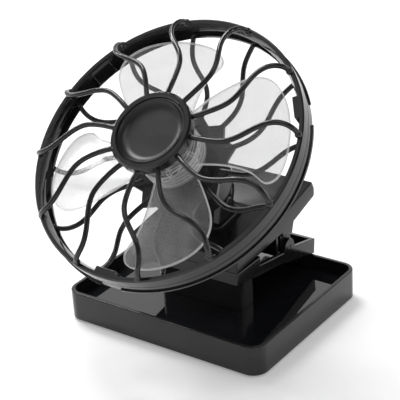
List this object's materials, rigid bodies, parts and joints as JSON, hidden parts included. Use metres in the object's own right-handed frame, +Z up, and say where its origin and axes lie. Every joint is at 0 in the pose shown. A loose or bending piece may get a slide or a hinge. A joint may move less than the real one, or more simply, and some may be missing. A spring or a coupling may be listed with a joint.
{
  "type": "solar clip fan",
  "caption": "Small table-top solar fan: tilting guarded fan head on a wide spring clip, held by a post over a shallow solar-panel tray.",
  "frame": {"origin": "centre of the underside of the rubber base pad, on the table", "axes": "+Z up, -Y towards the front that the fan faces, +X to the right seen from the front"},
  "size_m": [0.1516, 0.1472, 0.16],
  "materials": {
    "tray_plastic": "gloss",
    "clip_plastic": "gloss",
    "guard_plastic": "gloss",
    "cap_plastic": "satin",
    "housing_plastic": "satin",
    "inner_plastic": "matte",
    "clear_plastic": "clear",
    "panel_cover": "clear",
    "solar_cell": "gloss",
    "board": "matte",
    "rubber": "matte",
    "steel": "satin",
    "black_steel": "blackened",
    "spring_steel": "bright",
    "can_steel": "bright",
    "bronze": "satin",
    "brass": "bright",
    "copper": "enamelled",
    "magnet": "matte",
    "wire_cover": "satin"
  },
  "bodies": {
    "base": {"base_tray": "tray_plastic", "bottom_cover": "inner_plastic", "cover_screws": "steel", "base_pad": "rubber", "panel_backing": "board", "solar_cells": "solar_cell", "panel_window": "panel_cover", "panel_terminals": "brass", "panel_leads": "wire_cover", "clip_post": "tray_plastic", "post_screws": "black_steel", "clip_lower": "clip_plastic", "lower_jaw_pad": "rubber", "clip_pin": "black_steel", "clip_springs": "spring_steel"},
    "clip_top": {"clip_upper": "clip_plastic", "upper_jaw_pad": "rubber", "neck_bracket": "housing_plastic", "neck_screws": "steel", "tilt_bolt": "black_steel", "tilt_nut": "black_steel"},
    "head": {"motor_housing": "housing_plastic", "front_guard": "guard_plastic", "front_cap": "cap_plastic", "rear_guard": "guard_plastic", "housing_screws": "black_steel", "motor_screws": "black_steel", "motor_can": "can_steel", "motor_end_cap": "inner_plastic", "motor_bushes": "bronze", "motor_magnets": "magnet", "motor_brushes": "brass", "motor_leads": "wire_cover"},
    "rotor": {"fan_rotor": "clear_plastic", "motor_shaft": "steel", "armature_core": "steel", "armature_coils": "copper", "commutator": "copper"}
  },
  "joints": [
    {"name": "clip_open", "type": "hinge", "parent": "base", "child": "clip_top", "pos_m": [0, 0.026, 0.0338], "axis": [-1, 0, 0], "range_deg": [0, 28], "deforming": ["clip_springs"]},
    {"name": "head_tilt", "type": "hinge", "parent": "clip_top", "child": "head", "pos_m": [0, 0.0052, 0.0636], "axis": [1, 0, 0], "range_deg": [-40, 28]},
    {"name": "rotor_spin", "type": "hinge", "parent": "head", "child": "rotor", "pos_m": [0, -0.0341, 0.1104], "axis": [0, -0.6428, 0.766], "continuous": true}
  ]
}
